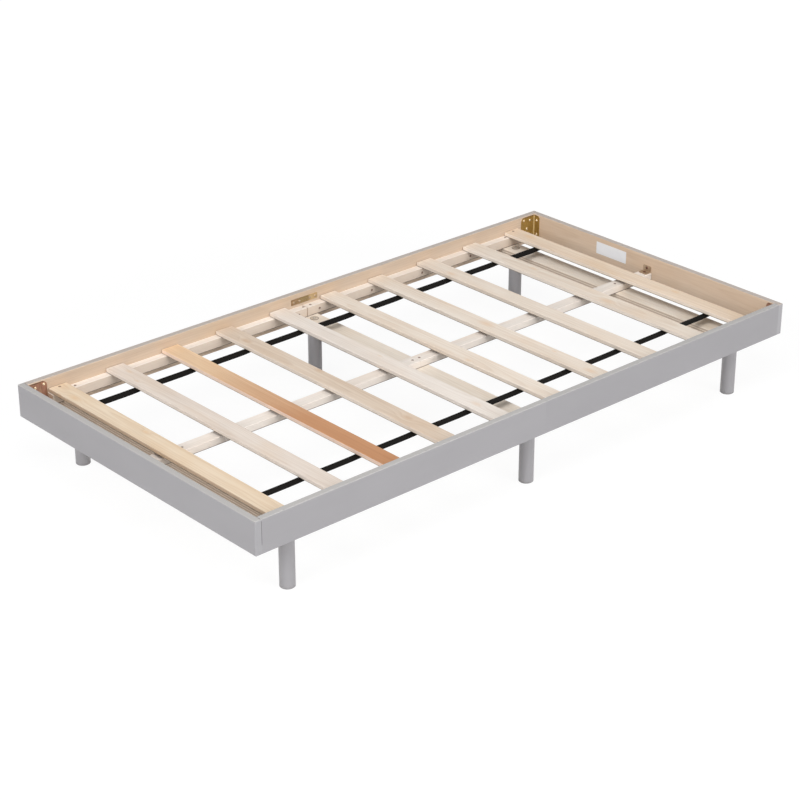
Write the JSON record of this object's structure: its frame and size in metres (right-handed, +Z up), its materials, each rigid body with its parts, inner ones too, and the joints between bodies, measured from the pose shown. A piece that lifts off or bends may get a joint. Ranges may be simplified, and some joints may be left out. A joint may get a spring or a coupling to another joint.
{
  "type": "bed frame",
  "caption": "Low platform bed frame: grey painted rim, loose slatted deck on cleats, crossbeams, centre rail, round legs and bent corner brackets.",
  "frame": {"origin": "on the floor under the middle of the frame", "axes": "+X towards the head end, along the length; +Y towards the left side seen from the foot end; +Z up"},
  "size_m": [2, 1.042, 0.267],
  "materials": {
    "painted_rail": "satin grey paint outside and on the top edge, bare planed pine inside",
    "painted_leg": "satin grey paint on turned wood",
    "pine_slat": "planed bare pine with long grain and small knots",
    "amber_slat": "planed resinous pine, darker and orange",
    "pine_batten": "planed bare pine",
    "pine_beam": "planed bare pine, a little darker",
    "webbing": "black woven webbing",
    "brassed_steel": "yellow passivated steel, dull, with darker and redder patches",
    "bronzed_steel": "dark bronze finish on pressed steel",
    "zinc_steel": "bright zinc",
    "paper": "blank white paper sticker"
  },
  "bodies": {
    "root": {"foot_rail": "painted_rail", "head_rail": "painted_rail", "side_rail_right_foot": "painted_rail", "side_rail_right_head": "painted_rail", "side_rail_left_foot": "painted_rail", "side_rail_left_head": "painted_rail", "cleat_right_foot": "pine_batten", "cleat_right_head": "pine_batten", "cleat_left_foot": "pine_batten", "cleat_left_head": "pine_batten", "slat_01": "pine_slat", "slat_02": "pine_slat", "slat_03": "amber_slat", "slat_04": "pine_slat", "slat_05": "pine_slat", "slat_06": "pine_slat", "slat_07": "pine_slat", "slat_08": "pine_slat", "slat_09": "pine_slat", "slat_10": "pine_slat", "strap_right": "webbing", "strap_left": "webbing", "crossbeam_foot": "pine_beam", "leg_foot_right": "painted_leg", "leg_foot_left": "painted_leg", "crossbeam_middle": "pine_beam", "leg_middle_right": "painted_leg", "leg_middle_left": "painted_leg", "crossbeam_head": "pine_beam", "leg_head_right": "painted_leg", "leg_head_left": "painted_leg", "centre_rail_foot": "pine_batten", "centre_rail_clip_foot": "bronzed_steel", "corner_bracket_foot_right": "brassed_steel", "corner_bracket_foot_left": "brassed_steel", "centre_rail_head": "pine_batten", "centre_rail_clip_head": "bronzed_steel", "corner_bracket_head_right": "brassed_steel", "corner_bracket_head_left": "brassed_steel", "joining_plate_right": "brassed_steel", "joining_plate_left": "brassed_steel", "hanger_bolts": "zinc_steel", "tee_nuts": "bronzed_steel"}
  },
  "joints": []
}
